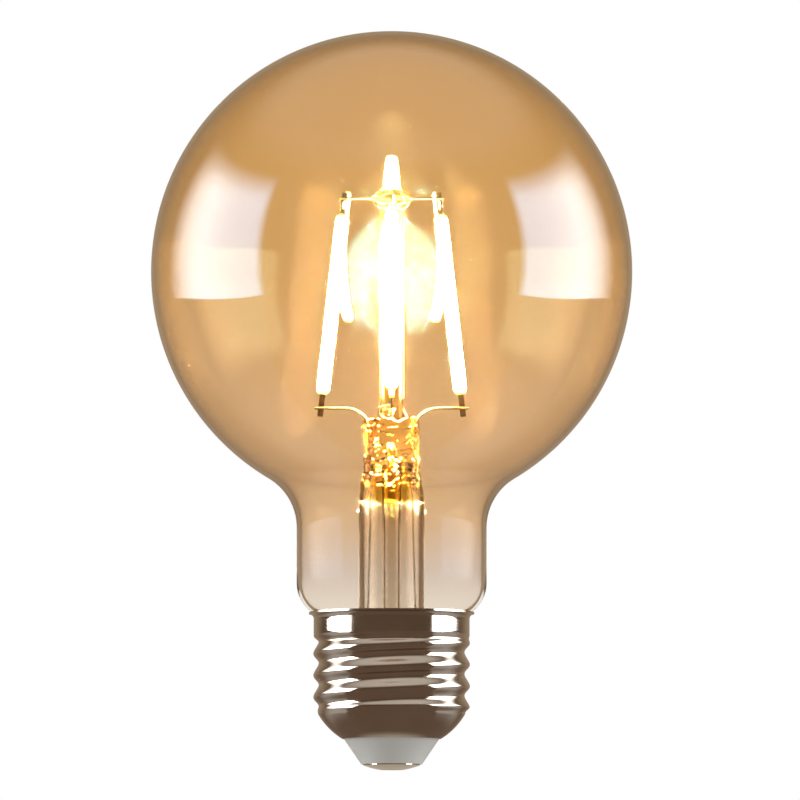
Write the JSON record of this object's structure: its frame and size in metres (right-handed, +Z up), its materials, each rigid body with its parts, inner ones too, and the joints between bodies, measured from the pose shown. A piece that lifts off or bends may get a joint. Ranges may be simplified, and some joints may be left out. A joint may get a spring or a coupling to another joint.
{
  "type": "globe light bulb",
  "caption": "Amber glass globe bulb with leaning light filaments on a glass stem, and a rolled metal screw cap.",
  "frame": {"origin": "middle of the flat on the centre contact, at the foot of the screw cap", "axes": "+Z up the bulb's axis to the top of the globe, -Y the front, +X to the right"},
  "size_m": [0.0808, 0.0808, 0.124],
  "materials": {
    "amber_glass": "gloss",
    "clear_glass": "gloss",
    "light_coat": "matte",
    "tab_metal": "satin",
    "wire_metal": "satin",
    "plated_shell": "polished",
    "plated_contact": "polished",
    "pale_insulator": "satin",
    "cement": "matte",
    "board_green": "satin",
    "component_black": "satin",
    "capacitor_sleeve": "gloss",
    "resistor_body": "satin"
  },
  "bodies": {
    "root": {"globe_envelope": "amber_glass", "stem_flare": "clear_glass", "exhaust_tube": "clear_glass", "centre_rod": "clear_glass", "led_filament_left": "light_coat", "led_filament_right": "light_coat", "led_filament_front": "light_coat", "led_filament_rear": "light_coat", "upper_tab_left": "tab_metal", "upper_tab_right": "tab_metal", "upper_tab_front": "tab_metal", "upper_tab_rear": "tab_metal", "lower_tab_left": "tab_metal", "lower_tab_right": "tab_metal", "lower_tab_front": "tab_metal", "lower_tab_rear": "tab_metal", "lead_wire_left": "wire_metal", "lead_wire_right": "wire_metal", "branch_wire_front": "wire_metal", "branch_wire_rear": "wire_metal", "upper_wires": "wire_metal", "live_wire": "wire_metal", "neutral_wire": "wire_metal", "screw_shell": "plated_shell", "centre_contact": "plated_contact", "cap_insulator": "pale_insulator", "basing_cement": "cement", "driver_board": "board_green", "bridge_rectifier": "component_black", "driver_chip": "component_black", "smoothing_capacitor": "capacitor_sleeve", "fusible_resistor": "resistor_body"}
  },
  "joints": []
}
